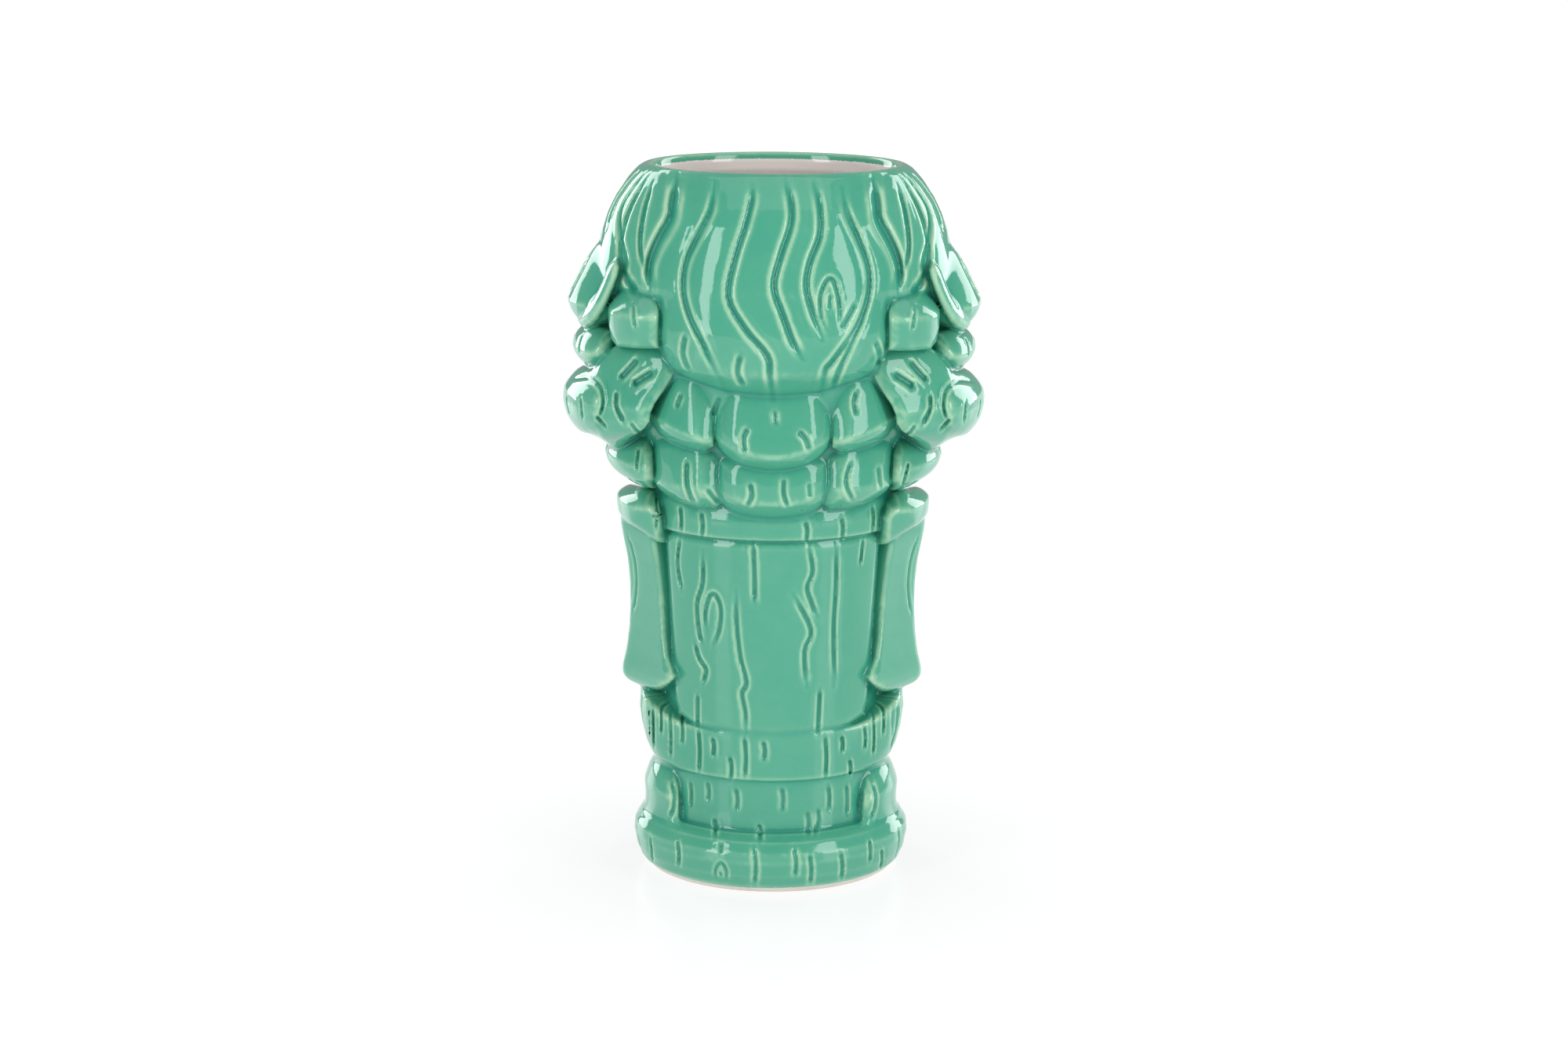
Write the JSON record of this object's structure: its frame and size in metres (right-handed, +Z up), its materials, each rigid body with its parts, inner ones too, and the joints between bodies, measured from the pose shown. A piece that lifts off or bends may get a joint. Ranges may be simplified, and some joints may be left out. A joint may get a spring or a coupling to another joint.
{
  "type": "tiki mug",
  "caption": "Tall ceramic tiki mug carved as a head with curled, piled-up hair, long ears, ringed neck and foot, sea-green glaze outside and white inside.",
  "frame": {"origin": "centre of the foot on the plane it rests on", "axes": "+Z up; the figure's face looks along -Y, the back of its head along +Y, and its own left is +X"},
  "size_m": [0.1046, 0.095, 0.177],
  "materials": {
    "green_glaze": "glossy sea-green glaze, darker where it pools and pale on edges",
    "white_glaze": "glossy warm white glaze",
    "bare_clay": "unglazed fired clay, matt"
  },
  "bodies": {
    "root": {"back_hood": "green_glaze", "bare_foot": "bare_clay", "brow_knob_left": "green_glaze", "brow_knob_right": "green_glaze", "brow_ridge": "green_glaze", "cheek_left": "green_glaze", "cheek_right": "green_glaze", "chin": "green_glaze", "collar_ring": "green_glaze", "diamond_lobe_left": "green_glaze", "diamond_lobe_right": "green_glaze", "ear_left": "green_glaze", "ear_right": "green_glaze", "eye_left": "green_glaze", "eye_right": "green_glaze", "face_plane": "green_glaze", "foot_ring": "green_glaze", "fringe_centre": "green_glaze", "fringe_side_left": "green_glaze", "fringe_side_right": "green_glaze", "front_hood": "green_glaze", "front_lock_left": "green_glaze", "front_lock_right": "green_glaze", "head_back": "green_glaze", "jaw_band": "green_glaze", "liner_glaze": "white_glaze", "mouth": "green_glaze", "mug_body": "green_glaze", "neck_band": "green_glaze", "nose": "green_glaze", "rim_lip": "green_glaze", "row_a_centre": "green_glaze", "row_a_side_left": "green_glaze", "row_a_side_right": "green_glaze", "row_b_centre": "green_glaze", "row_b_outer_left": "green_glaze", "row_b_outer_right": "green_glaze", "row_b_side_left": "green_glaze", "row_b_side_right": "green_glaze", "side_bump_left": "green_glaze", "side_bump_right": "green_glaze", "side_curl_left": "green_glaze", "side_curl_right": "green_glaze", "side_hair_left": "green_glaze", "side_hair_right": "green_glaze", "small_lobe_left": "green_glaze", "small_lobe_right": "green_glaze", "square_knob_left": "green_glaze", "square_knob_right": "green_glaze", "teeth": "green_glaze"}
  },
  "joints": []
}
